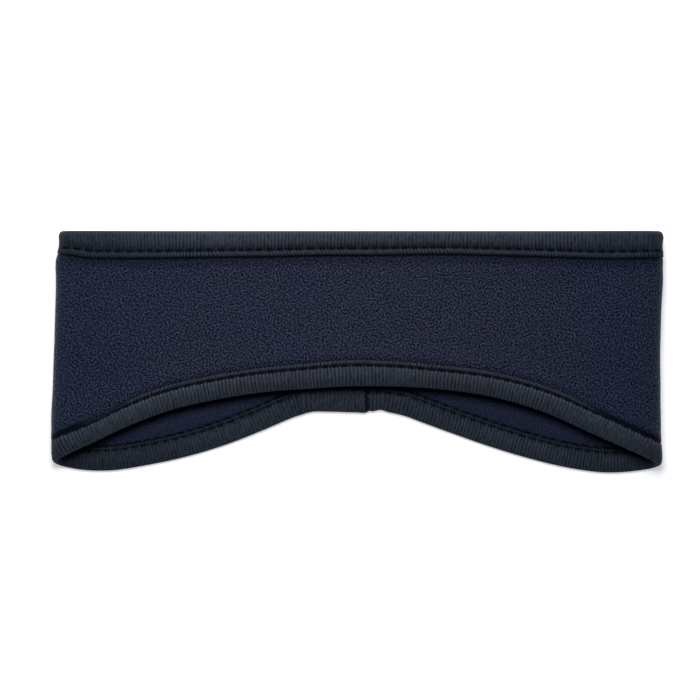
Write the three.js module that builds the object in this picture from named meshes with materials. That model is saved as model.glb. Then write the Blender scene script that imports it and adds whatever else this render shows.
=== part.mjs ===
// Fleece ear warmer headband, lying flat with its front panel up.
// Millimetres. +X runs across the band, +Y towards its top edge and +Z up from the surface it lies on.
// The origin is on that surface, under the middle of the band.
//
// The band is a closed loop of fleece, folded flat at its two sides, with a knitted tape bound over
// each edge. Every piece is laid out on the unrolled band first, where a place has three numbers:
// along (round the loop from the centre front), down (from the top edge) and out (from the middle of
// the fleece towards the outside of the band). place() rolls that layout up into the lying band.

import * as THREE from 'three';

// Sizes of the band
const flatWidth = 265; // from side fold to side fold
const earHeight = 104.7; // at its tallest, just behind the ears
const frontHeight = 67.1; // at the centre of the forehead
const backHeight = 78.4; // at the centre back
const foldRadius = 6; // of the middle of the fleece, in each side fold
const panelGap = 9; // between the middles of the front and back panels
const gapEase = 42; // length over which a side fold's loop closes down to that gap

// Sizes of the fleece
const fleeceThickness = 2.3; // with its nap
const pressedThickness = 1.2; // where a binding holds it
const napRise = 2.6; // length over which it swells again beside a binding
const sagLength = 14; // length over which a panel sinks from the bindings' level to its own

// Sizes of the bindings
const tapeThickness = 0.85;
const clearance = 0.3; // between tape and fleece
const topRoll = 7.9; // from the top edge to the stitch line
const topLip = 2.9; // beyond that stitch line
const bottomRoll = 8.7;
const bottomLip = 2.1;
const lapLength = 28; // of tape laid over tape at the centre back
const lapOffset = 4.3; // from the centre back to the lap's cut end
const lapStep = 0.4; // that the upper end of the tape stands above the lower one
const cutSlope = 0.25; // length of the step at the cut end
const softSlope = 4; // length of the step over the hidden end
const lapEase = 45; // length over which the back panel comes down beside the lap

// How finely the curves are divided
const panelSteps = 11; // from the centre of a panel to its fold
const foldSteps = 14; // round one side fold

// Lower edge. out is the share of the way from a panel's centre to the middle of the side fold. left
// and right are how far the edge has come down there, as shares of the way from the panel's height
// at its centre to the ear height.
const frontEdge = [
  { out: 0.0, left: 0.0, right: 0.0 },
  { out: 0.15, left: 0.029, right: 0.007 },
  { out: 0.3, left: 0.07, right: 0.048 },
  { out: 0.45, left: 0.153, right: 0.135 },
  { out: 0.6, left: 0.279, right: 0.295 },
  { out: 0.75, left: 0.484, right: 0.532 },
  { out: 0.88, left: 0.697, right: 0.732 },
  { out: 1.0, left: 0.88, right: 0.915 },
];
const backEdge = [
  { out: 0.9, left: 0.948, right: 0.976 },
  { out: 0.8, left: 0.965, right: 0.997 },
  { out: 0.68, left: 0.876, right: 0.913 },
  { out: 0.55, left: 0.733, right: 0.753 },
  { out: 0.42, left: 0.532, right: 0.551 },
  { out: 0.3, left: 0.293, right: 0.338 },
  { out: 0.21, left: 0.098, right: 0.171 },
  { out: 0.15, left: -0.005, right: 0.06 },
  { out: 0.09, left: -0.012, right: 0.0 },
  { out: 0.0, left: 0.0, right: 0.0 },
];

// Side folds. down is a share of the ear height, and left and right are shares of half the width.
const sideFolds = [
  { down: 0.0, left: 0.976, right: 0.9985 },
  { down: 0.09, left: 0.978, right: 0.9975 },
  { down: 0.125, left: 0.9885, right: 1.002 },
  { down: 0.19, left: 0.9885, right: 1.0045 },
  { down: 0.3, left: 0.991, right: 1.0 },
  { down: 0.5, left: 0.9955, right: 0.9955 },
  { down: 0.66, left: 1.0005, right: 0.996 },
  { down: 0.8, left: 1.0045, right: 0.998 },
  { down: 0.88, left: 1.001, right: 0.9955 },
  { down: 1.0, left: 0.9985, right: 0.9945 },
];

// Outside of the tape, from its folded edge inwards. roll and lip are shares of those two widths, and
// height is a share of the tape's thickness.
const tapeSection = [
  { roll: 0.05, lip: 0, height: 0.4 },
  { roll: 0.2, lip: 0, height: 0.9 },
  { roll: 0.4, lip: 0, height: 1.0 },
  { roll: 0.64, lip: 0, height: 1.0 },
  { roll: 0.86, lip: 0, height: 0.82 },
  { roll: 1, lip: 0, height: 0.38 },
  { roll: 1, lip: 0.3, height: 0.76 },
  { roll: 1, lip: 0.8, height: 0.7 },
  { roll: 1, lip: 1, height: 0.32 },
];

// Sizes that follow
const tapeInside = pressedThickness / 2 + clearance;
const tapeOutside = tapeInside + tapeThickness;
const fleeceStart = tapeThickness + 2 * clearance; // from a tape's folded edge
const topBinding = topRoll + topLip;
const bottomBinding = bottomRoll + bottomLip;
const halfWidth = flatWidth / 2 - tapeOutside; // to the middle of the fleece
const panelReach = halfWidth - foldRadius; // from a panel's centre to where its fold starts
const foldLength = Math.PI * foldRadius;
const halfLoop = 2 * panelReach + foldLength;
const loopLength = 2 * halfLoop;

const ease = (from, to, at) => THREE.MathUtils.smoothstep(at, from, to);

// A smooth curve through the rows of a table
function curveThrough(knots, values, ending) {
  const curve = new THREE.CubicInterpolant(knots, values, 1, [0]);
  curve.settings = { endingStart: ending, endingEnd: ending };
  return (at) => curve.evaluate(THREE.MathUtils.clamp(at, knots[0], knots[knots.length - 1]))[0];
}

function lowerEdgeOf(side) {
  const fall = (row, height) => height + (earHeight - height) * row[side];
  const knots = [
    ...frontEdge.map((row) => row.out / 2),
    ...backEdge.map((row) => 1 - row.out / 2),
  ];
  const values = [
    ...frontEdge.map((row) => fall(row, frontHeight)),
    ...backEdge.map((row) => fall(row, backHeight)),
  ];
  return curveThrough(knots, values, THREE.ZeroSlopeEnding);
}

function sideFoldOf(side) {
  const knots = sideFolds.map((row) => row.down);
  const values = sideFolds.map((row) => row[side] * halfWidth);
  return curveThrough(knots, values, THREE.ZeroCurvatureEnding);
}

const lowerEdges = { left: lowerEdgeOf('left'), right: lowerEdgeOf('right') };
const foldReaches = { left: sideFoldOf('left'), right: sideFoldOf('right') };

// The place along the loop, from -halfLoop to halfLoop: 0 at the centre front and positive to the right
const wrapped = (along) => THREE.MathUtils.euclideanModulo(along + halfLoop, loopLength) - halfLoop;
const sideOf = (along) => (wrapped(along) < 0 ? 'left' : 'right');

const topEdge = () => 0;
const bottomEdge = (along) => lowerEdges[sideOf(along)](Math.abs(wrapped(along)) / halfLoop);

// Distance straight down the band that lies a given way in from an edge, measured square to the edge
function downward(edge, along, inward) {
  const step = 0.5;
  return inward * Math.hypot(1, (edge(along + step) - edge(along - step)) / (2 * step));
}

// How far the outer end of the tape is raised over the inner end at the centre back, from 0 to 1
const lapCut = halfLoop - lapOffset;
function lapRaise(along) {
  const at = THREE.MathUtils.euclideanModulo(along, loopLength);
  const raised = ease(lapCut - cutSlope, lapCut, at);
  return raised * (1 - ease(lapCut + lapLength, lapCut + lapLength + softSlope, at));
}

// The laps lift the back panel a little from the surface
function lapLift(along) {
  const beyond = Math.abs(THREE.MathUtils.euclideanModulo(along, loopLength) - lapCut - lapLength / 2);
  return lapStep * (1 - ease(lapLength / 2 + softSlope, lapLength / 2 + lapEase, beyond));
}

// Height of the middle of the fleece over the surface, before the loop's own rise
function bedding(along, down) {
  const fromTop = down - topBinding;
  const fromBottom = (bottomEdge(along) - down) / downward(bottomEdge, along, 1) - bottomBinding;
  const near = 1 - ease(0, sagLength, Math.min(fromTop, fromBottom));
  const field = fleeceThickness / 2;
  return field + (tapeOutside - field) * near + lapLift(along);
}

// Middle of the fleece at a place on the unrolled band
function middle(along, down) {
  const at = Math.abs(wrapped(along));
  const side = sideOf(along) === 'left' ? -1 : 1;
  const reach = foldReaches[sideOf(along)](down / earHeight) - foldRadius;
  let x = reach;
  let rise = 0;
  if (at <= panelReach) {
    x = (reach * at) / panelReach;
    rise = panelGap + (2 * foldRadius - panelGap) * ease(panelReach - gapEase, panelReach, at);
  } else if (at <= panelReach + foldLength) {
    const turn = (at - panelReach) / foldRadius;
    x = reach + foldRadius * Math.sin(turn);
    rise = foldRadius * (1 + Math.cos(turn));
  } else {
    x = (reach * (halfLoop - at)) / panelReach;
  }
  return new THREE.Vector3(side * x, -down, bedding(along, down) + rise);
}

// A point that lies out from the middle of the fleece
function place(along, down, out) {
  const step = 0.05;
  const round = middle(along + step, down).sub(middle(along - step, down));
  const below = middle(along, down + step).sub(middle(along, down - step));
  const outward = below.cross(round).normalize();
  return middle(along, down).addScaledVector(outward, out);
}

// Places round the loop where a section is made
function stations() {
  const panel = Array.from({ length: panelSteps }, (_, i) => (panelReach * i) / panelSteps);
  const fold = Array.from({ length: foldSteps }, (_, i) => (foldLength * i) / foldSteps);
  const half = [
    ...panel,
    ...fold.map((at) => panelReach + at),
    ...panel.map((at) => panelReach + foldLength + at),
  ];
  const lap = [lapCut - cutSlope, lapCut, lapCut + lapLength, lapCut + lapLength + softSlope];
  const clearOfLap = (at) => lap.every((edge) => Math.abs(at - edge) > softSlope / 2);
  const regular = [...half, ...half.map((at) => at + halfLoop)].filter(clearOfLap);
  return [...regular, ...lap].sort((a, b) => a - b);
}

// A closed ring through one section at each station. sectionAt() gives the section's outline as
// [along, down, out] rows.
function ring(sectionAt) {
  const sections = stations().map(sectionAt);
  const size = sections[0].length;
  const points = sections.flat().map(([along, down, out]) => place(along, down, out));
  const index = [];
  sections.forEach((_, i) => {
    const here = i * size;
    const next = ((i + 1) % sections.length) * size;
    for (let j = 0; j < size; j += 1) {
      const k = (j + 1) % size;
      index.push(here + j, next + k, next + j, here + j, here + k, next + k);
    }
  });
  const geometry = new THREE.BufferGeometry().setFromPoints(points);
  geometry.setIndex(index);
  geometry.computeVertexNormals();
  return geometry;
}

// Half the thickness of the fleece at a distance from the end of a binding
const fleeceHalf = (beyond) =>
  pressedThickness / 2 + ((fleeceThickness - pressedThickness) / 2) * ease(clearance, napRise, beyond);

function fleeceSection(along) {
  const beyond = [0, clearance, napRise / 2, napRise, (napRise + sagLength) / 2, sagLength];
  const upper = [
    [fleeceStart, fleeceHalf(0)],
    ...beyond.map((at) => [topBinding + at, fleeceHalf(at)]),
  ];
  const lower = [
    [fleeceStart, fleeceHalf(0)],
    ...beyond.map((at) => [bottomBinding + at, fleeceHalf(at)]),
  ].map(([inward, half]) => [bottomEdge(along) - downward(bottomEdge, along, inward), half]);
  const face = [...upper, ...lower.reverse()];
  return [
    ...face.map(([down, half]) => [along, down, half]),
    ...face.reverse().map(([down, half]) => [along, down, -half]),
  ];
}

// Tape folded over an edge. inwards is 1 where the fleece lies below the edge and -1 where above.
function tapeSectionAt(edge, inwards, roll, lip) {
  return (along) => {
    const extra = lapStep * lapRaise(along);
    const down = (inward) => edge(along) + inwards * downward(edge, along, inward);
    const outside = tapeSection.map((row) => [
      row.roll * roll + row.lip * lip,
      tapeInside + row.height * tapeThickness + extra,
    ]);
    const inside = [
      [roll + lip, tapeInside],
      [tapeThickness + clearance, tapeInside],
    ];
    const outline = [
      [-extra / 2, 0],
      ...outside,
      ...inside,
      [tapeThickness, 0],
      ...inside.map(([inward, out]) => [inward, -out]).reverse(),
      ...outside.map(([inward, out]) => [inward, -out]).reverse(),
    ].map(([inward, out]) => [along, down(inward), out]);
    return inwards > 0 ? outline : outline.reverse();
  };
}

const fleeceMaterial = new THREE.MeshStandardMaterial({ color: 0x24283a, roughness: 0.95, metalness: 0 });
const tapeMaterial = new THREE.MeshStandardMaterial({ color: 0x2b3038, roughness: 0.85, metalness: 0 });

function piece(name, geometry, material) {
  const mesh = new THREE.Mesh(geometry, material);
  mesh.name = name;
  return mesh;
}

const headband = new THREE.Group();
headband.add(
  piece('fleece_band', ring(fleeceSection), fleeceMaterial),
  piece('top_binding', ring(tapeSectionAt(topEdge, 1, topRoll, topLip)), tapeMaterial),
  piece('bottom_binding', ring(tapeSectionAt(bottomEdge, -1, bottomRoll, bottomLip)), tapeMaterial),
);

// The origin is under the middle of the band
const bounds = new THREE.Box3().setFromObject(headband);
const middleOfBand = bounds.getCenter(new THREE.Vector3());
headband.position.set(-middleOfBand.x, -middleOfBand.y, -bounds.min.z);

export default headband;
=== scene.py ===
import math
from functools import reduce

import bpy
import numpy as np
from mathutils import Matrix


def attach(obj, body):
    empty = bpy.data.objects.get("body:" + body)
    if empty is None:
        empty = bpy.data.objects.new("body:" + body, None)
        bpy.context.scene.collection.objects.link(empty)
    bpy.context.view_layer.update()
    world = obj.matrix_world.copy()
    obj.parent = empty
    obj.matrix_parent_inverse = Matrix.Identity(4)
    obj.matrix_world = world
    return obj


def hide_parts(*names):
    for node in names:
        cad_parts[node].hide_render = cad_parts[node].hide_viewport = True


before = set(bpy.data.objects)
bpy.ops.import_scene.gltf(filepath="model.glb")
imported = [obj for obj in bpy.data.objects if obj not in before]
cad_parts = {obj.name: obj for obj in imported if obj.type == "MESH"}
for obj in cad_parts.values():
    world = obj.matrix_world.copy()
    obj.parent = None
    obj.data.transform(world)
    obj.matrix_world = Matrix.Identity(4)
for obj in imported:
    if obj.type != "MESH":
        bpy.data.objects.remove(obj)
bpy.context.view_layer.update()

MM = 0.001  # in the frame's metres

# The headband's sizes, in millimetres, as in the CAD part
FLAT_WIDTH = 265  # from side fold to side fold
EAR_HEIGHT = 104.7  # at its tallest, just behind the ears
FRONT_HEIGHT = 67.1  # at the centre of the forehead
BACK_HEIGHT = 78.4  # at the centre back
FOLD_RADIUS = 6  # of the middle of the fleece, in each side fold
PANEL_GAP = 9  # between the middles of the front and back panels
GAP_EASE = 42  # length over which a side fold's loop closes down to that gap
FLEECE = 2.3  # thickness, with its nap
PRESSED = 1.2  # thickness where a binding holds it
NAP_RISE = 2.6  # length over which it swells again beside a binding
SAG_LENGTH = 14  # length over which a panel sinks from the bindings' level to its own
TAPE = 0.85  # thickness
CLEARANCE = 0.3  # between tape and fleece
TOP_ROLL, TOP_LIP = 7.9, 2.9  # from the top edge to the stitch line, and beyond that line
BOTTOM_ROLL, BOTTOM_LIP = 8.7, 2.1
LAP_LENGTH = 28  # of tape laid over tape at the centre back
LAP_OFFSET = 4.3  # from the centre back to the lap's cut end
LAP_STEP = 0.4  # that the upper end of the tape stands above the lower one
CUT_SLOPE = 0.25  # length of the step at the cut end
SOFT_SLOPE = 4  # length of the step over the hidden end
LAP_EASE = 45  # length over which the back panel comes down beside the lap
CENTRE = (0.033, 52.223)  # of the unrolled layout's top edge, in the frame

# Sizes of the looks alone, in millimetres
RIB = 1.56  # from one rib of the tape to the next
STITCH = 4.5  # from one stitch to the next
FOLD_REACH = 6  # over which the cloth is smooth, on either side of the middle of a side fold
FLOOR_CLEAR = 0.02  # least height over the floor

# Lower edge: the way from a panel's centre to the side fold, and the fall on the left and right
FRONT_EDGE = (
    # way, left, right
    (0.0, 0.0, 0.0),
    (0.15, 0.029, 0.007),
    (0.3, 0.07, 0.048),
    (0.45, 0.153, 0.135),
    (0.6, 0.279, 0.295),
    (0.75, 0.484, 0.532),
    (0.88, 0.697, 0.732),
    (1.0, 0.88, 0.915),
)
BACK_EDGE = (
    # way, left, right
    (0.9, 0.948, 0.976),
    (0.8, 0.965, 0.997),
    (0.68, 0.876, 0.913),
    (0.55, 0.733, 0.753),
    (0.42, 0.532, 0.551),
    (0.3, 0.293, 0.338),
    (0.21, 0.098, 0.171),
    (0.15, -0.005, 0.06),
    (0.09, -0.012, 0.0),
    (0.0, 0.0, 0.0),
)

# Side folds: the way down, and the reach on the left and right as shares of half the width
SIDE_FOLDS = (
    # way, left, right
    (0.0, 0.976, 0.9985),
    (0.09, 0.978, 0.9975),
    (0.125, 0.9885, 1.002),
    (0.19, 0.9885, 1.0045),
    (0.3, 0.991, 1.0),
    (0.5, 0.9955, 0.9955),
    (0.66, 1.0005, 0.996),
    (0.8, 1.0045, 0.998),
    (0.88, 1.001, 0.9955),
    (1.0, 0.9985, 0.9945),
)

TAPE_INSIDE = PRESSED / 2 + CLEARANCE
TAPE_OUTSIDE = TAPE_INSIDE + TAPE
TOP_BINDING = TOP_ROLL + TOP_LIP
BOTTOM_BINDING = BOTTOM_ROLL + BOTTOM_LIP
HALF_WIDTH = FLAT_WIDTH / 2 - TAPE_OUTSIDE
PANEL_REACH = HALF_WIDTH - FOLD_RADIUS
FOLD_LENGTH = math.pi * FOLD_RADIUS
HALF_LOOP = 2 * PANEL_REACH + FOLD_LENGTH
LOOP = 2 * HALF_LOOP
LAP_CUT = HALF_LOOP - LAP_OFFSET


def ease(low, high, at):
    """0 before low, 1 after high, and a smooth rise between them."""
    t = np.clip((at - low) / (high - low), 0, 1)
    return t * t * (3 - 2 * t)


def peak(at, width):
    """1 at 0, falling off smoothly on either side."""
    return np.exp(-((at / width) ** 2))


def curve_through(knots, values, flat_ends):
    """The CAD part's smooth curve through a table's rows."""
    t, v = np.array(knots, float), np.array(values, float)
    step = np.diff(t)
    end = 0.5 if flat_ends else -0.5
    w_prev = np.concatenate(([end], 0.5 * step[1:] / step[:-1]))
    w_next = np.concatenate((0.5 * step[:-1] / step[1:], [end]))
    v_prev = np.concatenate(([v[1]], v[:-2]))
    v_next = np.concatenate((v[2:], [v[-2]]))

    def at(x):
        x = np.clip(x, t[0], t[-1])
        i = np.clip(np.searchsorted(t, x, side="right") - 1, 0, len(step) - 1)
        p = (x - t[i]) / step[i]
        a, b = w_prev[i], w_next[i]
        return (
            (-a * p**3 + 2 * a * p**2 - a * p) * v_prev[i]
            + ((1 + a) * p**3 - (1.5 + 2 * a) * p**2 + (a - 0.5) * p + 1) * v[i]
            + ((-1 - b) * p**3 + (1.5 + b) * p**2 + 0.5 * p) * v[i + 1]
            + (b * p**3 - b * p**2) * v_next[i]
        )

    return at


def lower_edge_of(column):
    """How far down the lower edge lies, by the share of the half loop from the centre front."""

    def fall(row, height):
        return height + (EAR_HEIGHT - height) * row[column]

    return curve_through(
        [r[0] / 2 for r in FRONT_EDGE] + [1 - r[0] / 2 for r in BACK_EDGE],
        [fall(r, FRONT_HEIGHT) for r in FRONT_EDGE] + [fall(r, BACK_HEIGHT) for r in BACK_EDGE],
        True,
    )


def side_fold_of(column):
    """How far a side fold reaches from the centre, by the share of the height over the ears."""
    return curve_through(
        [r[0] for r in SIDE_FOLDS], [r[column] * HALF_WIDTH for r in SIDE_FOLDS], False
    )


LOWER_LEFT, LOWER_RIGHT = lower_edge_of(1), lower_edge_of(2)
FOLD_LEFT, FOLD_RIGHT = side_fold_of(1), side_fold_of(2)


def wrapped(along):
    """0 at the centre front, positive to the right, up to half the loop."""
    return np.mod(along + HALF_LOOP, LOOP) - HALF_LOOP


def top_edge(along):
    """How far down the top edge lies: it is where down is counted from."""
    return np.zeros_like(along)


def bottom_edge(along):
    """How far down the lower edge lies, at a place along the loop."""
    share = wrapped(along) / HALF_LOOP
    return np.where(share < 0, LOWER_LEFT(np.abs(share)), LOWER_RIGHT(np.abs(share)))


def slope_of(edge, along):
    """An edge's slope over the millimetre about a place."""
    return edge(along + 0.5) - edge(along - 0.5)


def fold_share(along):
    """1 along the middle of each side fold, where the cloth is stretched smooth round it."""
    return peak(np.abs(wrapped(along)) - HALF_LOOP / 2, FOLD_REACH)


def lap_raise(along):
    """1 where a binding's tape lies on its other end, 0 elsewhere."""
    at = np.mod(along, LOOP)
    hidden_end = LAP_CUT + LAP_LENGTH
    return ease(LAP_CUT - CUT_SLOPE, LAP_CUT, at) * (1 - ease(hidden_end, hidden_end + SOFT_SLOPE, at))


def lap_lift(along):
    """How far the lap lifts the back panel."""
    beyond = np.abs(np.mod(along, LOOP) - LAP_CUT - LAP_LENGTH / 2)
    return LAP_STEP * (1 - ease(LAP_LENGTH / 2 + SOFT_SLOPE, LAP_LENGTH / 2 + LAP_EASE, beyond))


def bedding(along, down):
    """Height of the middle of the fleece over the surface, before the loop's own rise."""
    from_bottom = (bottom_edge(along) - down) / np.hypot(1, slope_of(bottom_edge, along))
    near = 1 - ease(0, SAG_LENGTH, np.minimum(down - TOP_BINDING, from_bottom - BOTTOM_BINDING))
    return FLEECE / 2 + (TAPE_OUTSIDE - FLEECE / 2) * near + lap_lift(along)


def middle(along, down):
    """The middle of the fleece, before the layout is centred on the frame."""
    s = wrapped(along)
    at = np.abs(s)
    share = down / EAR_HEIGHT
    reach = np.where(s < 0, FOLD_LEFT(share), FOLD_RIGHT(share)) - FOLD_RADIUS
    turn = np.clip((at - PANEL_REACH) / FOLD_RADIUS, 0, math.pi)
    front = at <= PANEL_REACH
    back = at > PANEL_REACH + FOLD_LENGTH
    x = np.where(
        front,
        reach * at / PANEL_REACH,
        np.where(back, reach * (HALF_LOOP - at) / PANEL_REACH, reach + FOLD_RADIUS * np.sin(turn)),
    )
    closing = PANEL_GAP + (2 * FOLD_RADIUS - PANEL_GAP) * ease(PANEL_REACH - GAP_EASE, PANEL_REACH, at)
    rise = np.where(front, closing, np.where(back, 0, FOLD_RADIUS * (1 + np.cos(turn))))
    return np.stack((np.where(s < 0, -x, x), -down, bedding(along, down) + rise), -1)


def place(along, down, out):
    """The point in the frame, in metres, that lies out from the middle of the fleece."""
    step = 0.05
    onward = middle(along + step, down) - middle(along - step, down)
    below = middle(along, down + step) - middle(along, down - step)
    outward = np.cross(below, onward)
    outward /= np.linalg.norm(outward, axis=-1, keepdims=True)
    p = middle(along, down) + outward * out[..., None]
    p[..., 0] += CENTRE[0]
    p[..., 1] += CENTRE[1]
    p[..., 2] = np.maximum(p[..., 2], FLOOR_CLEAR)
    return p * MM


def waves(seed, low, high, count):
    """Smooth random relief from -1 to 1 or so, in waves low to high mm long, with no seam."""
    r = np.random.default_rng(seed)
    length = r.uniform(low, high, count)
    turn = r.uniform(0, math.pi, count)
    shift = r.uniform(0, 2 * math.pi, count)
    onward = np.round(LOOP * np.cos(turn) / length) * 2 * math.pi / LOOP
    below = 2 * math.pi * np.sin(turn) / length

    def at(along, down):
        total = np.zeros(np.broadcast(along, down).shape)
        for a, b, c in zip(onward, below, shift):
            total += np.sin(a * along + b * down + c)
        return total / math.sqrt(count)

    return at


def mesh_object(name, points, faces, uv=None, looks=None, fields=None):
    """A smooth mesh from arrays, with a uv for each corner and a named value for each point."""
    mesh = bpy.data.meshes.new(name)
    faces = np.asarray(faces, np.int32)
    count, sides = faces.shape
    mesh.vertices.add(len(points))
    mesh.vertices.foreach_set("co", np.asarray(points, np.float32).ravel())
    mesh.loops.add(count * sides)
    mesh.loops.foreach_set("vertex_index", faces.ravel())
    mesh.polygons.add(count)
    mesh.polygons.foreach_set("loop_start", np.arange(0, count * sides, sides, dtype=np.int32))
    mesh.polygons.foreach_set("loop_total", np.full(count, sides, np.int32))
    mesh.polygons.foreach_set("use_smooth", np.ones(count, bool))
    if looks is not None:
        mesh.polygons.foreach_set("material_index", np.asarray(looks, np.int32))
    if uv is not None:
        layer = mesh.uv_layers.new(name="sheet")
        layer.data.foreach_set("uv", np.asarray(uv, np.float32).ravel())
    for key, value in (fields or {}).items():
        layer = mesh.attributes.new(key, "FLOAT", "POINT")
        layer.data.foreach_set("value", np.asarray(value, np.float32).ravel())
    mesh.update(calc_edges=True)
    obj = bpy.data.objects.new(name, mesh)
    bpy.context.scene.collection.objects.link(obj)
    return obj


def ring(name, points, uv, round_length, fields, looks=None):
    """A closed mesh from sections: points[station, row], with uv in millimetres of flat cloth."""
    stations, rows = points.shape[:2]
    i, j = np.meshgrid(np.arange(stations), np.arange(rows), indexing="ij")
    i2, j2 = (i + 1) % stations, (j + 1) % rows
    faces = np.stack((i * rows + j, i * rows + j2, i2 * rows + j2, i2 * rows + j), -1).reshape(-1, 4)
    after = np.concatenate((uv[1:], uv[:1] + (round_length, 0)))
    corner = np.stack((uv, np.roll(uv, -1, 1), np.roll(after, -1, 1), after), 2).reshape(-1, 2)
    look = None if looks is None else np.broadcast_to(looks, (stations, rows)).ravel()
    return mesh_object(name, points.reshape(-1, 3), faces, corner, look, fields)


# Materials


class Nodes:
    """A short way to write a material's nodes."""

    def __init__(self, name):
        self.material = bpy.data.materials.new(name)
        self.material.use_nodes = True
        self.tree = self.material.node_tree
        self.shader = next(n for n in self.tree.nodes if n.type == "BSDF_PRINCIPLED")

    def add(self, kind, inputs=None, **settings):
        node = self.tree.nodes.new(kind)
        for key, value in settings.items():
            setattr(node, key, value)
        for key, value in (inputs or {}).items():
            self.put(node.inputs[key], value)
        return node

    def put(self, socket, value):
        if isinstance(value, bpy.types.NodeSocket):
            self.tree.links.new(value, socket)
        else:
            socket.default_value = value

    def surface(self, values):
        """The material, once the shader's own sockets have their values."""
        for key, value in values.items():
            self.put(self.shader.inputs[key], value)
        return self.material

    def math(self, operation, a, b=0.0, clamp=False):
        return self.add("ShaderNodeMath", {0: a, 1: b}, operation=operation, use_clamp=clamp).outputs[0]

    def plus(self, a, b, clamp=False):
        return self.math("ADD", a, b, clamp)

    def times(self, a, b):
        return self.math("MULTIPLY", a, b)

    def about_zero(self, value, strength):
        """A texture's value, from 0 to 1, as a push up or down."""
        return self.times(self.math("SUBTRACT", value, 0.5), strength)

    def flat_cloth(self):
        """The place on the flat cloth, in millimetres."""
        return self.add("ShaderNodeUVMap", uv_map="sheet").outputs[0]

    def to_back(self, u):
        """1 at the centre back, -1 at the centre front."""
        return self.math("COSINE", self.times(u, 2 * math.pi / LOOP))

    def noise(self, where, scale, detail=2.0, roughness=0.5):
        inputs = {"Vector": where, "Scale": scale, "Detail": detail, "Roughness": roughness}
        return self.add("ShaderNodeTexNoise", inputs).outputs["Fac"]

    def stretch(self, where, x, y, shift=0.0, turn=0.0):
        inputs = {
            "Vector": where,
            "Location": (shift, shift, shift),
            "Rotation": (0, 0, turn),
            "Scale": (x, y, 1),
        }
        return self.add("ShaderNodeMapping", inputs).outputs[0]

    def gabor(self, where, scale, frequency):
        """Curled relief of an even width, with scale times frequency crests to the millimetre."""
        inputs = {"Vector": where, "Scale": scale, "Frequency": frequency, "Anisotropy": 0.0}
        return self.add("ShaderNodeTexGabor", inputs, gabor_type="2D").outputs["Value"]

    def field(self, name):
        """A value worked out with the mesh, such as shade: 0 in the open, 1 at the bottom of a crevice."""
        return self.add("ShaderNodeAttribute", attribute_name=name).outputs["Fac"]

    def ramp(self, value, low, high):
        node = self.add("ShaderNodeMapRange", {"Value": value, "From Min": low, "From Max": high})
        return node.outputs["Result"]

    def mix(self, share, a, b):
        node = self.add("ShaderNodeMix", data_type="RGBA")
        self.put(node.inputs[0], share)
        self.put(node.inputs[6], a)
        self.put(node.inputs[7], b)
        return node.outputs[2]

    def bump(self, height, distance, strength=1.0):
        inputs = {"Height": height, "Distance": distance, "Strength": strength}
        return self.add("ShaderNodeBump", inputs).outputs[0]


def linear(*rgb):
    """A colour picked as sRGB from 0 to 255."""

    def channel(c):
        return c / 255 / 12.92 if c <= 10 else ((c / 255 + 0.055) / 1.055) ** 2.4

    return tuple(channel(c) for c in rgb) + (1,)


NAP_MIDDLE = 1.17  # of the height that the fleece's textures add up to
# painted highlight: the lighter rim of the fleece round the side folds
FOLD_RIM_HIGHLIGHT = linear(74, 92, 108)
# painted shade beside the bindings, also the dark stitch dashes inside
FLEECE_CREVICE = linear(1, 3, 16)
TAPE_AT_BACK = linear(49, 57, 67)
# painted highlight along the top binding's folded edge, which faces the light
PAINTED_EDGE_HIGHLIGHT = linear(66, 72, 82)
TAPE_STAIN = linear(30, 40, 52)
# painted highlight on the ribs' ends, where they catch the light
RIB_END_HIGHLIGHT = linear(84, 90, 102)
# painted shade in the tape's crevices, also the dark of the stitches' pits
TAPE_CREVICE = linear(0, 3, 17)
THREAD_LIT = linear(7, 11, 21)


def fleece_material(name, tip, front_tip, pit, relief, contrast, fineness):
    """Clipped fleece: curled knots of nap with small pits between them."""
    n = Nodes(name)
    flat = n.flat_cloth()
    u = n.add("ShaderNodeSeparateXYZ", {0: flat}).outputs[0]
    knots = n.gabor(n.stretch(flat, fineness, fineness, shift=3, turn=0.6), 0.48, 1.38)
    curls = n.gabor(n.stretch(flat, fineness, fineness, shift=31, turn=1.9), 0.82, 1.3)
    clumps = n.noise(n.stretch(flat, 1, 1, shift=47), 0.62, detail=0.0)
    tone = n.noise(n.stretch(flat, 1, 1, shift=12), 0.03)
    height = n.plus(n.plus(knots, n.times(curls, 1.1)), n.times(clumps, 0.24))
    # The knots' tips lighter and the pits between them darker: partly the nap's own tone, partly painted
    # light and shade of its curls
    lit = n.math("POWER", n.ramp(height, NAP_MIDDLE - contrast, NAP_MIDDLE + contrast), 1.4)
    # Lighter and warmer towards the centre front: partly the fleece's own tone, partly painted light,
    # which falls off towards the side folds
    at_front = n.plus(n.ramp(n.to_back(u), 0.0, -1.0), n.about_zero(tone, 1.2), clamp=True)
    colour = n.mix(lit, pit, n.mix(at_front, tip, front_tip))
    # painted highlight: the light rim round the side folds
    colour = n.mix(n.field("painted_highlight"), colour, FOLD_RIM_HIGHLIGHT)
    return n.surface(
        {
            "Base Color": n.mix(n.field("shade"), colour, FLEECE_CREVICE),
            "Roughness": 0.95,
            "Specular IOR Level": 0.1,
            "Sheen Weight": 0.2,
            "Sheen Roughness": 0.35,
            "Sheen Tint": (0.75, 0.8, 1.0, 1),
            "Normal": n.bump(height, relief),
        }
    )


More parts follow.
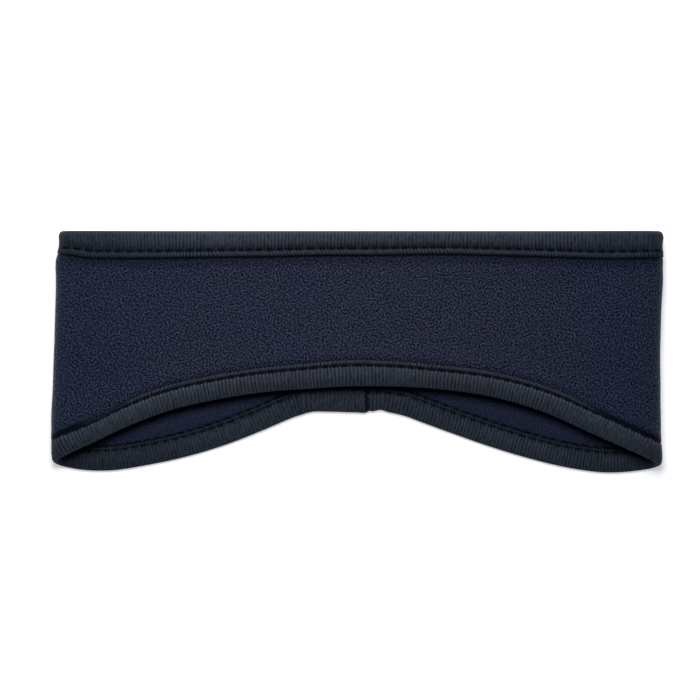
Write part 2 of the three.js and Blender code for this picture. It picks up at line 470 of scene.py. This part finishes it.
def tape_material(name, crown, gap):
    """Ribbed knit: the u of the flat cloth counts millimetres across the ribs, v those from the fold."""
    n = Nodes(name)
    flat = n.flat_cloth()
    split = n.add("ShaderNodeSeparateXYZ", {0: flat})
    u, v = split.outputs[0], split.outputs[1]
    loops = n.noise(n.stretch(flat, 1, 0.3, shift=5), 1.5, roughness=0.6)
    fuzz = n.gabor(n.stretch(flat, 1, 1, shift=23, turn=0.5), 0.9, 1.0)
    tone = n.noise(n.stretch(flat, 1, 0.6, shift=9), 0.09)
    grain = n.times(n.plus(n.about_zero(loops, 2.6), n.about_zero(fuzz, 1.3)), 0.8)
    # The ribs' gaps take the darker gap colour: painted shade between the ribs
    rib = n.ramp(n.math("COSINE", n.times(u, 2 * math.pi / RIB)), -1.0, 0.7)
    rib = n.plus(rib, n.times(n.math("SUBTRACT", 0.66, rib), n.field("plain")))
    crown = n.mix(n.ramp(n.to_back(u), -0.8, -0.2), crown, TAPE_AT_BACK)
    colour = n.mix(n.plus(rib, grain, clamp=True), gap, crown)
    # painted highlight: paler within about 2 mm of the folded edge
    colour = n.mix(n.ramp(v, 2.2, -2.2), colour, PAINTED_EDGE_HIGHLIGHT)
    colour = n.mix(n.times(n.ramp(tone, 0.3, 0.7), 0.18), colour, TAPE_STAIN)
    # painted highlight on the ribs' ends
    colour = n.mix(n.field("painted_highlight"), colour, RIB_END_HIGHLIGHT)
    return n.surface(
        {
            "Base Color": n.mix(n.field("shade"), colour, TAPE_CREVICE),
            "Roughness": 0.9,
            "Specular IOR Level": 0.1,
            "Sheen Weight": 0.06,
            "Sheen Roughness": 0.5,
            "Sheen Tint": (0.85, 0.9, 1.0, 1),
            "Normal": n.bump(n.plus(loops, fuzz), 0.00016, 0.8),
        }
    )


def thread_material(name, colour):
    """Dark sewing thread, with a slight change of tone from strand to strand."""
    n = Nodes(name)
    strand = n.noise(n.add("ShaderNodeTexCoord").outputs["Object"], 2600.0)
    return n.surface(
        {
            "Base Color": n.mix(n.ramp(strand, 0.3, 0.7), colour, THREAD_LIT),
            "Roughness": 0.8,
            "Specular IOR Level": 0.15,
            "Normal": n.bump(strand, 0.00005, 0.6),
        }
    )


def floor_material(name):
    """A white that stays pale in the headband's soft shadow."""
    n = Nodes(name)
    return n.surface(
        {
            "Base Color": (0.85, 0.85, 0.85, 1),
            "Roughness": 1.0,
            "Specular IOR Level": 0.0,
            "Emission Color": (1, 1, 1, 1),
            "Emission Strength": 0.5,
        }
    )


FLEECE_OUT = fleece_material(
    "fleece_pebbled",
    tip=linear(47, 57, 79),
    front_tip=linear(56, 60, 79),
    pit=linear(3, 7, 25),
    relief=0.0004,
    contrast=0.26,
    fineness=1.0,
)
FLEECE_IN = fleece_material(
    "fleece_brushed",
    tip=linear(49, 57, 80),
    front_tip=linear(50, 57, 80),
    pit=linear(13, 18, 38),
    relief=0.0003,
    contrast=0.4,
    fineness=1.2,
)
TAPE_KNIT = tape_material("tape_ribbed", crown=linear(50, 55, 64), gap=linear(17, 22, 31))
THREAD = thread_material("thread_dark", linear(2, 5, 14))


# Lips and stitch lines

INNER_LIP = 0.75  # the lips' share that shows on the inside
TOP_LIP_LAID = TOP_LIP - 0.05  # the top lip as it lies, slightly curled

# How far a stitch line strays inwards, in mm, at shares of half the loop from the centre front
TOP_STRAY = (
    # share, left, right
    (0.0, -0.25, -0.25),
    (0.08, -0.15, -0.55),
    (0.15, 0.35, -0.75),
    (0.21, 0.45, -0.3),
    (0.27, 0.7, 0.1),
    (0.34, 0.95, 0.7),
    (0.40, 1.0, 1.2),
    (0.44, 0.8, 1.1),
    (0.47, -0.25, 0.9),
    (0.60, 0.0, 0.3),
    (1.0, 0.0, 0.0),
)
BOTTOM_STRAY = (
    # share, left, right
    (0.0, 0.4, 0.4),
    (0.06, 0.2, 0.0),
    (0.12, -0.2, -0.55),
    (0.20, -0.3, -0.3),
    (0.27, -0.2, 0.0),
    (0.34, -0.15, 0.2),
    (0.37, -0.35, 0.3),
    (0.40, -0.85, 0.3),
    (0.43, -0.7, 0.0),
    (0.46, -0.1, -0.2),
    (0.50, 0.0, 0.0),
    (0.60, 0.0, 0.0),
    (1.0, 0.0, 0.0),
)


def lip_shown(along):
    """The share of the bottom binding's outer lip that shows: near the side folds the nap covers it."""
    share = np.abs(wrapped(along)) / HALF_LOOP
    return 1 - 0.7 * ease(0.33, 0.4, share) * (1 - ease(0.54, 0.6, share))


def stray_of(table):
    """A stitch line's stray by the place along the loop."""
    share, left, right = zip(*table)
    left, right = curve_through(share, left, True), curve_through(share, right, True)

    def at(along):
        at_share = wrapped(along) / HALF_LOOP
        return np.where(at_share < 0, left(np.abs(at_share)), right(np.abs(at_share)))

    return at


def edge_length(edge):
    """An edge's length, the place along for a length from the centre back, and the reverse."""
    a = HALF_LOOP + np.linspace(0, LOOP, 8001)
    step = np.hypot(np.diff(a), np.diff(edge(a)))
    length = np.concatenate(([0], np.cumsum(step)))

    def place_at(at):
        return np.interp(at, length, a)

    def length_at(along):
        return np.interp(HALF_LOOP + np.mod(along - HALF_LOOP, LOOP), a, length)

    return length[-1], place_at, length_at


def stitch_line(edge, seed):
    """The stitches' middles by length along an edge, and a wave that is 1 there and -1 between two."""
    total, place_at, length_at = edge_length(edge)
    count = round(total / STITCH)
    drift = waves(seed, 12, 40, 8)

    def uneven_feed(along):
        return 0.9 * drift(along, 0.0)

    def wave(along):
        return np.cos(2 * math.pi * length_at(along) / total * count + uneven_feed(along))

    k = np.arange(count)
    feed = uneven_feed(place_at(k * total / count)) / (2 * math.pi)
    return np.mod((k - feed) * total / count, total), wave


# Fleece

STATIONS = 600  # round the loop
OUTER_ROWS = 88  # across the open fleece, outside
INNER_ROWS = 32  # and inside
UNDER_LIP = 1.0  # mm short of a lip's end, where the rows beside it start
BESIDE_LIP = np.array([0, 0.5, 1.0, 1.35, 1.7, 2.1])  # mm from there to each of those rows
SLOW_SWELL = 0.06  # mm that a face rises and falls over its whole width
SEAM_DEPTH, SEAM_WIDTH = 0.45, 0.7  # of the centre back seam, in mm
FOLD_HIGHLIGHT_SHARE = 0.12  # of the painted rim highlight's colour, on the side folds


def fleece_band(top_stray, bottom_stray, bottom_wave):
    """The fleece as a closed loop, and the area of its cut in square metres."""
    along = HALF_LOOP + np.arange(STATIONS) * LOOP / STATIONS
    low = bottom_edge(along)
    lean = np.hypot(1, slope_of(bottom_edge, along))
    start = TAPE + 2 * CLEARANCE
    top = np.full(STATIONS, TOP_BINDING - UNDER_LIP)
    bottom = low - (BOTTOM_BINDING - UNDER_LIP) * lean

    def rows(count):
        """Places down the band, close together beside the lips."""
        first = np.full((STATIONS, 1), start)
        last = (low - start * lean)[:, None]
        above = top[:, None] + BESIDE_LIP
        below = bottom[:, None] - BESIDE_LIP[::-1] * lean[:, None]
        share = np.linspace(0, 1, count)[1:-1]
        field = above[:, -1:] + (below[:, :1] - above[:, -1:]) * share
        return np.concatenate((first, above, field, below, last), 1)

    def past_lips(down, hidden_lip):
        """How far past the top lip, and past the bottom lip, of which a share is hidden."""
        from_edge = (low[:, None] - down) / lean[:, None]
        from_top = down - TOP_ROLL - TOP_LIP_LAID - top_stray(along)[:, None]
        from_bottom = from_edge - BOTTOM_BINDING - bottom_stray(along)[:, None]
        return from_top, from_bottom + BOTTOM_LIP * hidden_lip[:, None]

    def face(down, hidden_lip, seed, swell, fold_swell):
        """A face's places along, its distance from the middle of the fleece, and its painted shade beside
        the lips.
        """
        a = np.broadcast_to(along[:, None], down.shape)
        from_top, from_bottom = past_lips(down, hidden_lip)
        beyond = np.minimum(from_top, from_bottom)
        folded = fold_share(a)

        hidden = hidden_lip[:, None]
        # painted shade: darker just past each lip, and in a wider band below the top lip, which the
        # binding shades
        beside_top = 1 - ease(0.3, 1.4, from_top)
        wide_top = 0.68 * (1 - ease(0.2, 6, from_top))
        beside_bottom = 1 - ease(0.1 + 0.7 * hidden, 0.8 + 1.1 * hidden, from_bottom)
        shade = reduce(np.maximum, (beside_top, wide_top, (0.25 + 1.1 * hidden) * beside_bottom))

        half = PRESSED / 2 + (FLEECE - PRESSED) / 2 * ease(CLEARANCE, NAP_RISE, beyond)
        dip = 0.25 + 0.75 * ease(-0.4, 0.9, beyond)
        folded_dip = 0.1 + 0.9 * ease(-0.9, 0, beyond)
        half = half * (dip + (folded_dip - dip) * folded)
        at_lip = ease(-0.8, 0.1, beyond) * (1 - ease(0.5, 5, beyond))
        half = half + (FLEECE / 2 + fold_swell - half) * folded * at_lip
        slow, quick = waves(seed, 14, 40, 14), waves(seed + 1, 2.0, 3.2, 40)
        half = half + ease(0, 9, beyond) * (SLOW_SWELL * slow(a, down) + swell * quick(a, down))
        seam = peak(wrapped(a - HALF_LOOP), SEAM_WIDTH)
        return a, half - SEAM_DEPTH * seam * ease(0, 2, beyond), shade

    down_out = rows(OUTER_ROWS)
    a_out, half_out, shade_out = face(down_out, 1 - lip_shown(along), 3, swell=0.022, fold_swell=0.4)
    down_in = rows(INNER_ROWS)[:, ::-1]
    hidden_in = np.full(STATIONS, 1 - INNER_LIP)
    a_in, half_in, shade_in = face(down_in, hidden_in, 8, swell=0.02, fold_swell=0.0)
    stitched = ease(-0.6, 0.5, bottom_wave(along))[:, None]
    from_lip = past_lips(down_in, hidden_in)[1]
    dashes = np.minimum(1, 1.5 * stitched * peak(from_lip - 0.3, 0.5))

    a = np.concatenate((a_out, a_in), 1)
    down = np.concatenate((down_out, down_in), 1)
    out = np.concatenate((half_out, -half_in), 1)
    shade = np.concatenate((shade_out, np.maximum(shade_in, dashes)), 1)
    looks = np.repeat((0, 1), (down_out.shape[1], down_in.shape[1]))
    uv = np.stack((a - HALF_LOOP, down), -1)
    fields = {"shade": shade, "painted_highlight": FOLD_HIGHLIGHT_SHARE * fold_share(a)}
    obj = ring("fleece", place(a, down, out), uv, LOOP, fields, looks)
    obj.data.materials.append(FLEECE_OUT)
    obj.data.materials.append(FLEECE_IN)
    area = float(((low - 2 * start) * LOOP / STATIONS).sum()) * MM**2
    return obj, area


# Bindings

# The tape's outside, from its folded edge to the stitch line
TAPE_ROLL = (
    # share of the roll, height in mm
    (0.0, 0.0),
    (0.015, 0.42),
    (0.035, 0.68),
    (0.07, 0.90),
    (0.13, 1.14),
    (0.21, 1.42),
    (0.31, 1.70),
    (0.42, 1.93),
    (0.53, 2.04),
    (0.64, 1.98),
    (0.74, 1.74),
    (0.82, 1.40),
    (0.89, 0.96),
    (0.95, 0.52),
    (1.0, 0.32),
)

# and beyond the stitch line
TAPE_LIP = (
    # share of the lip, height in mm
    (0.08, 0.38),
    (0.16, 0.72),
    (0.25, 1.08),
    (0.37, 1.38),
    (0.53, 1.52),
    (0.70, 1.46),
    (0.87, 1.22),
    (1.0, 0.90),
)

# The tape's outside where it is stretched smooth round a side fold
FOLD_ROLL = (
    # mm from the edge, height on the left and right
    (0.0, 0.0, 0.0),
    (0.4, 0.90, 1.30),
    (1.2, 1.35, 1.85),
    (2.4, 1.62, 2.10),
    (7.9, 1.50, 1.85),
    (10.5, 1.90, 1.90),
)

# Sizes of the tape's relief, in mm where they aren't shares
SLOT = 0.21  # half the slot between a tape's two sides
RIB_STATIONS = 5  # along each rib
RIB_HEIGHTS = (0.04, 0.06, 0.06, 0.12, 0.06, 0.20, 0.10)  # from the folded edge to the lip's end
LAP_HEIGHTS = (0, 0.95, 1.62, 1.5, 1.1)  # of the smoother tape on the lap, likewise
LIP_SLANT = 0.75  # mm that a rib leans along for each mm across the lip
SLANT_UNEVEN = 0.6  # share by which that lean varies
RIB_WANDER = 0.09  # of the way to the next rib
RIB_UNEVEN = 0.35  # share by which the ribs' height varies
LAP_PRESSED = 0.5  # share of their height that they lose on the lap
WOBBLE = 0.04  # height of the tape's small bumps
BEAD = 0.05  # that a rib stands out past the folded edge
GROOVE_WIDTH = 0.65  # half the groove along a stitch line
COVERED_WIDTH = 0.3  # that a covered lip adds to it
GROOVE_LIFT = 0.28  # of the groove's floor between two stitches
COVERED_HEIGHT = 0.4  # of the lip where the nap covers it
LEAST_HEIGHT = 0.24  # of the tape's outside, so that it stays clear of the slot
CUT_WIDTH = 0.6  # half the crevice at the lap's cut end, and the ridge over its hidden end
CUT_DEPTH, RIDGE_DEPTH = 1.0, 0.3
NO_EDGE_HIGHLIGHT = 4  # mm added to the way in from the fold on a tape without the painted highlight along its folded edge

# Painted shade of the tape's crevices, lips' ends and top's ends, the stitches' dark pits, and a darker
# back left. Those over 1 widen the part that is darkest
GROOVE_TOP, GROOVE_BOTTOM, GROOVE_INSIDE = 0.75, 0.6, 0.3
GROOVE_COVERED, GROOVE_PIT, GROOVE_VALLEY = 0.6, 0.85, 0.4
LIP_VALLEY, ROLL_VALLEY = 0.56, 0.5
CUT_SHADE, RIDGE_SHADE, COVERED_SHADE = 1.4, 0.5, 1.5
INNER_LIP_SHADE, INNER_LIP_END = 0.3, 0.4
TOP_END_LEFT, TOP_END_RIGHT, TOP_END_LIP = 0.35, 0.25, 0.4
BACK_LEFT = 0.2

# How faint the ribs are, from 0 to 1
FAINT_LEAST, FAINT_PATCH, FAINT_LAP = 0.22, 0.55, 0.6
FAINT_TOP_END, FAINT_FLANK, FAINT_BACK = 0.6, 0.75, 0.65
FAINT_INSIDE = 0.75  # of what they are outside

# How bright the painted highlight on the ribs' ends is, from 0 to 1
BRIGHT_TOP, BRIGHT_BEADS, BRIGHT_BOTTOM, BRIGHT_ASIDE = 0.45, 0.42, 0.25, 0.5


def rib_wave(phase):
    """A rounded rib with a narrow valley, from -1 to 1."""
    return 2 * np.abs(np.cos(math.pi * phase)) ** 0.75 - 1


def lap_edge(at):
    """How far the tape's fold stands out past the edge beside the lap's cut, in mm."""
    return 0.25 * peak(at - 1.6, 1.8) - 0.75 * peak(at + 5.8, 2.4) - 0.3 * peak(at + 1.0, 0.9)


class Binding:
    """A tape folded over an edge of the fleece, on rows that run inward from its folded edge.

    Its methods take a side, 1 outside and -1 inside, which also moves the random fields so that
    the two sides differ.
    """

    def __init__(self, edge, inwards, roll, lip, stray, stitch_wave, seed):
        self.edge, self.inwards, self.roll, self.lip, self.stray = edge, inwards, roll, lip, stray
        self.is_top = inwards > 0
        total, place_at, _ = edge_length(edge)
        self.ribs = round(total / RIB)
        stations = self.ribs * RIB_STATIONS
        at = (np.arange(stations) * total / stations)[:, None]
        along = place_at(at)
        self.along = along
        self.phase = at / total * self.ribs
        self.inward = np.array([r * roll for r, _ in TAPE_ROLL] + [roll + s * lip for s, _ in TAPE_LIP])
        self.height = np.array([h for _, h in TAPE_ROLL + TAPE_LIP])
        inward = self.inward

        self.share = wrapped(along) / HALF_LOOP
        self.stitch = stitch_wave(along)
        self.strayed = stray(along)
        self.lapped = lap_raise(along)
        self.covered = 0.0 if self.is_top else 1 - lip_shown(along)
        self.groove = peak(inward - roll, GROOVE_WIDTH + COVERED_WIDTH * self.covered)
        rib_reach = (0, 0.6, roll - 2.5, roll - 0.6, roll, roll + 0.5, roll + lip)
        self.rib_height = np.interp(inward, rib_reach, RIB_HEIGHTS)
        self.lap_height = np.interp(inward, (0, 0.5, 2.2, roll, roll + lip), LAP_HEIGHTS)
        reach, fold_left, fold_right = zip(*FOLD_ROLL)
        at_left, at_right = np.interp(inward, reach, fold_left), np.interp(inward, reach, fold_right)
        self.fold_height = np.where(self.share > 0, at_right, at_left)

        # The lap's ends aren't cut quite straight
        jag = 0.22 * np.sin(inward * 2.1) + 0.12 * np.sin(inward * 5.3 + 1)
        off_edge = ease(0, 0.8, inward)
        self.cut = peak(wrapped(along - LAP_CUT - jag), CUT_WIDTH) * off_edge
        self.ridge = peak(wrapped(along - LAP_CUT - LAP_LENGTH - 0.5 * jag), CUT_WIDTH) * off_edge
        self.right_flank = ease(0.27, 0.36, self.share) * (1 - ease(0.5, 0.56, self.share))
        self.left_back = ease(0.4, 0.46, -self.share) * (1 - ease(0.7, 0.82, -self.share))

        self.lean = waves(seed, 14, 50, 16)
        self.wobble = waves(seed + 5, 2.2, 6, 24)
        self.uneven = waves(seed + 7, 2.0, 5, 20)
        slanted = 1 + SLANT_UNEVEN * waves(seed + 11, 15, 60, 10)(along, 0.0)
        self.slant = -np.maximum(inward - roll, 0) * LIP_SLANT / RIB * slanted
        self.worn_patches = waves(seed + 13, 18, 60, 12)

    def heights(self, side, rib, on_lap):
        """The tape's height over the middle of the fleece, in mm."""
        roll, inward = self.roll, self.inward
        n = self.height + on_lap * (self.lap_height - self.height)
        if side > 0:
            n = n + fold_share(self.along) * (self.fold_height - n)
        unevenness = 1 + RIB_UNEVEN * self.uneven(self.along, inward * 0.5 + 20 * side)
        n = n + self.rib_height * (1 - LAP_PRESSED * on_lap) * unevenness * rib
        n = n + (1 - on_lap) * self.groove * GROOVE_LIFT * ease(0.2, -0.6, self.stitch)
        if side > 0:
            n = n - self.covered * ease(roll - 0.1, roll + 0.5, inward) * (n - COVERED_HEIGHT)
        n = n + WOBBLE * self.wobble(self.along, inward + 40 * side) * ease(0.2, 1.5, inward)
        n = n + LAP_STEP * self.lapped * ease(0, 0.6, inward)
        n = n - CUT_DEPTH * self.cut
        if side < 0:
            n = n - RIDGE_DEPTH * self.ridge
        return np.maximum(n, LEAST_HEIGHT * ease(0, 0.2, inward))

    def plainness(self, side, on_lap):
        """How faint the ribs are: rubbed flat in patches, on the lap and towards the side folds."""
        patches = self.worn_patches(self.along, self.inward + 30 * side)
        if self.is_top:
            stretched = FAINT_TOP_END * ease(0.3, 0.42, np.abs(self.share))
        else:
            stretched = FAINT_FLANK * self.right_flank if side > 0 else FAINT_BACK * self.left_back
        wear_and_edge_light = FAINT_LEAST + FAINT_PATCH * ease(-0.4, 1.6, patches)
        faintest = reduce(np.maximum, (wear_and_edge_light, FAINT_LAP * on_lap, stretched))
        on_side = 1 if side > 0 else FAINT_INSIDE
        return on_side * faintest * (1 - ease(self.roll - 0.4, self.roll + 0.4, self.inward))

    def shades(self, side, rib, on_lap, lip_end_shade):
        """How dark the tape is painted, from 0 to 1, by the darkest of several reasons: mostly painted
        shade in its crevices.
        """
        roll, inward = self.roll, self.inward
        lip_end = roll + self.lip
        from_front = np.abs(self.share)
        valley = ease(-0.2, 0.9, -rib)
        pit = ease(-0.6, 0.5, self.stitch)
        if side > 0:
            floor = (GROOVE_TOP if self.is_top else GROOVE_BOTTOM) + GROOVE_COVERED * self.covered
        else:
            floor = GROOVE_INSIDE
        in_groove = self.groove * (floor + GROOVE_PIT * pit + GROOVE_VALLEY * valley)
        reasons = [
            (1 - on_lap) * np.minimum(in_groove, 1),
            np.minimum(1, CUT_SHADE * self.cut),
            LIP_VALLEY * valley * ease(roll + 0.2, roll + 0.7, inward),
            ROLL_VALLEY * (1 - on_lap) * valley * ease(roll - 2.6, roll - 0.3, inward),
            # painted shadow at the lip's end, as strong as lip_end_shade
            lip_end_shade * ease(lip_end - 0.75, lip_end, inward),
        ]
        if side > 0:
            reasons.append(np.minimum(1, COVERED_SHADE * self.covered) * ease(roll, roll + 0.5, inward))
        else:
            at_end = ease(lip_end - 0.9, lip_end - 0.2, inward)
            reasons.append(RIDGE_SHADE * self.ridge)
            reasons.append(INNER_LIP_SHADE * ease(roll, roll + 0.4, inward))
            reasons.append(np.minimum(1, (INNER_LIP_END + pit) * at_end))
        # painted shade: the top tape darker towards its ends, where less light reaches it
        if self.is_top:
            darkest = np.where(self.share < 0, TOP_END_LEFT, TOP_END_RIGHT)
            reasons.append(darkest * ease(0.25, 0.45, from_front))
        if self.is_top and side > 0:
            on_lip = ease(roll + 0.1, roll + 0.5, inward)
            reasons.append(TOP_END_LIP * ease(0.41, 0.47, from_front) * on_lip)
        if not self.is_top and side < 0:
            reasons.append(BACK_LEFT * self.left_back)
        return reduce(np.maximum, reasons)

    def crests(self, side, rib, on_lap):
        """Where the ribs' ends catch the light: in a row outside, and as the inner lip's beads."""
        if side < 0:
            row = BRIGHT_BEADS * (1 - on_lap) * peak(self.inward - self.roll - 0.4 * self.lip, 0.35)
        elif self.is_top:
            row = BRIGHT_TOP * peak(self.inward - 0.15, 0.45)
        else:
            brightness = BRIGHT_BOTTOM + BRIGHT_ASIDE * ease(0.1, 0.3, np.abs(self.share))
            row = brightness * peak(self.inward - self.roll + 0.95, 0.45)
        return row * ease(0.2, 1, rib)

    def leg(self, side, lip_end_shade):
        """The fields of one side, from the folded edge to the lip's end."""
        wander = RIB_WANDER * self.lean(self.along, self.inward * 2.5 + 60 * side)
        phase = self.phase + wander + self.slant
        rib = rib_wave(phase)
        on_lap = self.lapped * (side < 0)
        return {
            "out": side * self.heights(side, rib, on_lap),
            "u": phase * RIB,
            "shade": self.shades(side, rib, on_lap, lip_end_shade),
            "plain": self.plainness(side, on_lap),
            "painted_highlight": self.crests(side, rib, on_lap),
        }

    def ways_in(self):
        """How far in from the edge each row lies: outside, round the hidden slot, and inside."""
        inward, lip = self.inward, self.lip
        step = 0.0 if self.is_top else lap_edge(wrapped(self.along - LAP_CUT))
        proud = LAP_STEP * self.lapped / 2 + BEAD * rib_wave(self.phase) + step
        strayed = self.strayed * np.minimum(inward / self.roll, 1)
        outer = inward + strayed - proud * (1 - ease(0, 1.5, inward))
        past_stitches = np.maximum(inward - self.roll, 0)
        inner = outer - past_stitches * (1 - INNER_LIP)
        outer = outer - past_stitches * self.covered
        lip_end, inner_end = self.roll + lip, self.roll + INNER_LIP * lip
        slot = np.array([lip_end, TAPE + 0.5, TAPE + 0.2, TAPE + 0.5, inner_end])
        slot = slot + self.strayed - lip * self.covered * np.array([1, 0, 0, 0, 0])
        return np.concatenate((outer, slot, inner[:, :0:-1]), 1)

    def build(self, name, lip_end_shade, wear_and_edge_light):
        """The binding's mesh, paler along its folded edge when asked: a painted highlight where that edge
        faces the light.
        """
        outer, inner = self.leg(1, lip_end_shade), self.leg(-1, lip_end_shade)
        hidden = np.ones((len(self.along), 5))
        slot_u = [outer["u"][:, i] for i in (-1, -1, 0)] + [inner["u"][:, -1]] * 2
        slot = {
            "out": hidden * (SLOT, SLOT, 0, -SLOT, -SLOT),
            "u": np.stack(slot_u, 1),
            "shade": hidden,
            "plain": hidden,
            "painted_highlight": 0 * hidden,
        }
        sheets = {key: np.concatenate((outer[key], slot[key], inner[key][:, :0:-1]), 1) for key in slot}
        sheets["out"][:, 0] = 0
        sheets["inward"] = self.ways_in()
        if not self.is_top:
            sheets = {key: value[:, ::-1] for key, value in sheets.items()}

        inward = sheets["inward"]
        turn = np.arctan(slope_of(self.edge, self.along))
        along = self.along - self.inwards * inward * np.sin(turn)
        down = self.edge(self.along) + self.inwards * inward * np.cos(turn)
        flat = np.stack((sheets["u"], inward + (0 if wear_and_edge_light else NO_EDGE_HIGHLIGHT)), -1)
        fields = {key: sheets[key] for key in ("shade", "plain", "painted_highlight")}
        obj = ring(name, place(along, down, sheets["out"]), flat, self.ribs * RIB, fields)
        obj.data.materials.append(TAPE_KNIT)
        return obj


# Stitches

THREAD_RADIUS = 0.16  # mm
THREAD_HEIGHT = 0.44  # mm over the middle of the fleece
THREAD_DIP = 0.30  # mm, at its ends
THREAD_SHOWN = (0.58, 0.68)  # least and greatest share of a stitch
THREAD_STRAY = 0.2  # mm along the stitch line
THREAD_LEAN = 0.2  # mm across the groove, from one end to the other
THREAD_RINGS = 7
THREAD_SIDES = 6
FIRST_CAP = ((3, 2, 1, 0), (5, 4, 3, 0))
LAST_CAP = ((0, 1, 2, 3), (0, 3, 4, 5))


def stitches(name, tape, middles, seed):
    """Threads that lie in both grooves of a binding, each dipping into the tape at its ends."""
    edge, inwards = tape.edge, tape.inwards
    total, place_at, _ = edge_length(edge)
    r = np.random.default_rng(seed)
    t = np.linspace(0, 1, THREAD_RINGS)
    from_middle = 2 * t - 1
    radius = (THREAD_RADIUS * (1 - from_middle**6) + 0.01)[:, None]
    round_thread = np.linspace(0, 2 * math.pi, THREAD_SIDES + 1)[:-1]
    thread_points = THREAD_RINGS * THREAD_SIDES
    points, faces = [], []
    for side in (1, -1):
        start = middles + r.uniform(-THREAD_STRAY, THREAD_STRAY, len(middles))
        length = STITCH * r.uniform(*THREAD_SHOWN, len(middles))
        shown = (lap_raise(place_at(np.mod(start, total))) < 0.1) | (side > 0)
        start, length = start[shown, None], length[shown, None]
        kept = len(start)
        along = place_at(np.mod(start - length / 2 + t * length, total))
        askew = 0.05 + THREAD_LEAN * (t - 0.5) + r.uniform(-0.06, 0.06, (kept, 1))
        inward = tape.roll + tape.stray(along) + askew
        height = THREAD_HEIGHT - THREAD_DIP * from_middle**4 + LAP_STEP * lap_raise(along)
        along, turn = along[..., None], np.arctan(slope_of(edge, along))[..., None]
        inward = inward[..., None] + radius * np.cos(round_thread)
        height = height[..., None] + radius * np.sin(round_thread)
        a = along - inwards * inward * np.sin(turn)
        down = edge(along) + inwards * inward * np.cos(turn)
        base = sum(len(x) for x in points)
        points.append(place(a, down, side * height).reshape(-1, 3))

        first = (np.arange(kept) * thread_points + base)[:, None]
        last = first + thread_points - THREAD_SIDES
        i = np.arange(THREAD_RINGS - 1)[:, None] * THREAD_SIDES
        j = np.arange(THREAD_SIDES)
        near, beside = first[..., None] + i + j, first[..., None] + i + (j + 1) % THREAD_SIDES
        quads = np.stack((near, beside, beside + THREAD_SIDES, near + THREAD_SIDES), -1).reshape(-1, 4)
        caps = [first + q for q in np.array(FIRST_CAP)] + [last + q for q in np.array(LAST_CAP)]
        every = np.concatenate((quads, *caps))
        faces.append(every[:, ::-1] if side * inwards > 0 else every)
    obj = mesh_object(name, np.concatenate(points), np.concatenate(faces))
    obj.data.materials.append(THREAD)
    return obj


# Pieces

top_stray, bottom_stray = stray_of(TOP_STRAY), stray_of(BOTTOM_STRAY)
top_middles, top_wave = stitch_line(top_edge, 30)
bottom_middles, bottom_wave = stitch_line(bottom_edge, 31)
fleece, fleece_area = fleece_band(top_stray, bottom_stray, bottom_wave)
top_tape = Binding(top_edge, 1, TOP_ROLL, TOP_LIP_LAID, top_stray, top_wave, 21)
bottom_tape = Binding(bottom_edge, -1, BOTTOM_ROLL, BOTTOM_LIP, bottom_stray, bottom_wave, 22)
# Only the top tape's folded edge gets the painted highlight
top = top_tape.build("binding_top", lip_end_shade=0.9, wear_and_edge_light=True)
bottom = bottom_tape.build("binding_bottom", lip_end_shade=0.0, wear_and_edge_light=False)
top_stitches = stitches("stitches_top", top_tape, top_middles, 31)
bottom_stitches = stitches("stitches_bottom", bottom_tape, bottom_middles, 32)

for piece in (fleece, top, bottom, top_stitches, bottom_stitches):
    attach(piece, "root")
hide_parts("fleece_band")
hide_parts("top_binding")
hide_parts("bottom_binding")


# Floor, light and camera

FLOOR_REACH = 3  # metres
CAMERA_HEIGHT = 2.0075  # metres, straight above the headband as in the photo
CAMERA_ASIDE, CAMERA_UP = -0.003075, 0.000736
CAMERA_LENS = 237.5  # mm

floor_corners = [(x * FLOOR_REACH, y * FLOOR_REACH, 0) for x, y in ((-1, -1), (1, -1), (1, 1), (-1, 1))]
floor = mesh_object("floor", floor_corners, [(0, 1, 2, 3)])
floor.data.materials.append(floor_material("floor_white"))


def area_light(name, elevation, aside, distance, size, power, spread):
    """A soft box beyond the headband's top edge, aimed at its middle. Angles are in degrees."""
    light = bpy.data.lights.new(name, "AREA")
    light.spread = math.radians(spread)
    light.shape = "RECTANGLE"
    light.size, light.size_y = size
    light.energy = power
    obj = bpy.data.objects.new(name, light)
    bpy.context.scene.collection.objects.link(obj)
    rise = math.radians(elevation)
    obj.location = (distance * aside, distance * math.cos(rise), distance * math.sin(rise))
    obj.rotation_euler = (-(math.pi / 2 - rise), 0, math.atan(aside / math.cos(rise)))


area_light(
    "overhead", elevation=70, aside=-0.04, distance=0.9, size=(0.35, 0.35), power=1.67, spread=90
)
area_light(
    "grazing", elevation=28, aside=-0.03, distance=0.38, size=(0.25, 0.12), power=0.58, spread=150
)
world = bpy.data.worlds.new("studio")
world.use_nodes = True
sky = world.node_tree.nodes["Background"]
sky.inputs["Color"].default_value = (0.4, 0.5, 1, 1)
sky.inputs["Strength"].default_value = 0.06
bpy.context.scene.world = world

camera = bpy.data.cameras.new("camera")
camera.sensor_width = 36
camera.lens = CAMERA_LENS
camera.clip_end = 20
eye = bpy.data.objects.new("camera", camera)
bpy.context.scene.collection.objects.link(eye)
eye.location = (CAMERA_ASIDE, CAMERA_UP, CAMERA_HEIGHT)
bpy.context.scene.camera = eye
bpy.context.scene.view_settings.view_transform = "Standard"
